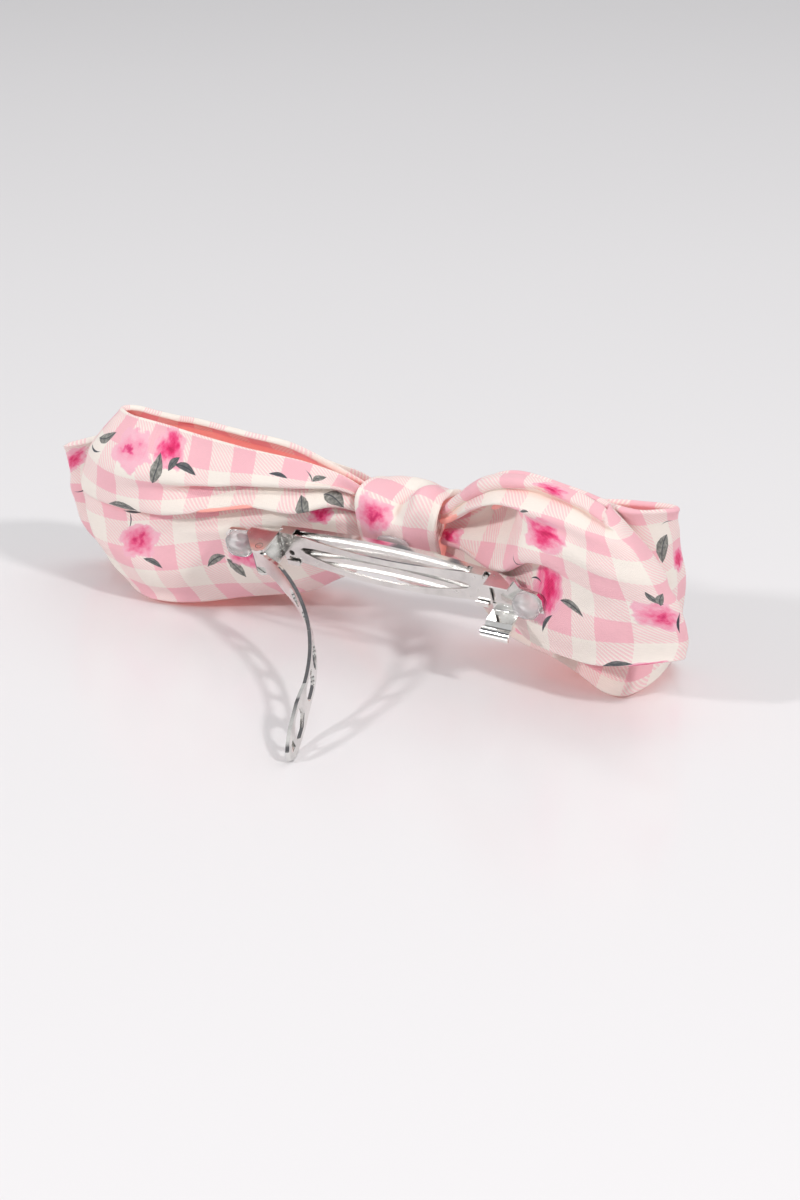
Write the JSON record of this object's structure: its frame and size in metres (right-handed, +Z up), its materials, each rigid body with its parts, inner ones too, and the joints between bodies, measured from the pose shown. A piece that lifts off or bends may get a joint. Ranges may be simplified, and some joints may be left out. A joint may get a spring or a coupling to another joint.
{
  "type": "bow barrette hair clip",
  "caption": "Fabric bow of two layered loops and a knot, glued to a bowed metal barrette with a hinged clasp arm, tension spring and release lever.",
  "frame": {"origin": "middle of the bounding box's base: on the table, under the middle of the bow and the open arm's reach", "axes": "+X along the clip and the bow, from the hinge end to the catch end; -Y towards the hair side, where the arm opens; +Z up from the table"},
  "size_m": [0.158, 0.0914, 0.0509],
  "materials": {
    "nickel_plate": "bright nickel plate with fine stamping marks",
    "spring_steel": "bright rolled strip",
    "hot_glue": "milky hot-melt adhesive",
    "printed_cotton": "cream and pink gingham twill with a rose print",
    "thread": "white polyester thread"
  },
  "bodies": {
    "clip_body": {"base_bar": "nickel_plate", "tension_spring": "spring_steel", "glue_left": "hot_glue", "glue_right": "hot_glue", "glue_centre": "hot_glue", "back_bow": "printed_cotton", "front_bow": "printed_cotton", "knot_band": "printed_cotton", "tie_thread": "thread"},
    "arm_root": {"clasp_arm_root": "nickel_plate"},
    "arm_front": {"clasp_arm_front": "nickel_plate"},
    "lever": {"catch_lever": "spring_steel"}
  },
  "joints": [
    {"name": "arm_hinge", "type": "hinge", "parent": "clip_body", "child": "arm_root", "pos_m": [-0.0216, 0.00535, 0.02064], "axis": [0, 0.351, -0.9364], "range_deg": [-41, 12]},
    {"name": "arm_flex", "type": "hinge", "parent": "arm_root", "child": "arm_front", "pos_m": [0.00315, -0.01374, 0.01348], "axis": [0, 0.351, -0.9364], "range_deg": [-24.9, 7.2]},
    {"name": "catch_press", "type": "hinge", "parent": "clip_body", "child": "lever", "pos_m": [0.0373, 0.01072, 0.01816], "axis": [1, 0, 0], "range_deg": [0, 8], "stiffness_Nm_per_rad": 0.005}
  ],
  "couplings": [
    {"joint": "arm_flex", "follows": "arm_hinge", "ratio": 0.6}
  ]
}
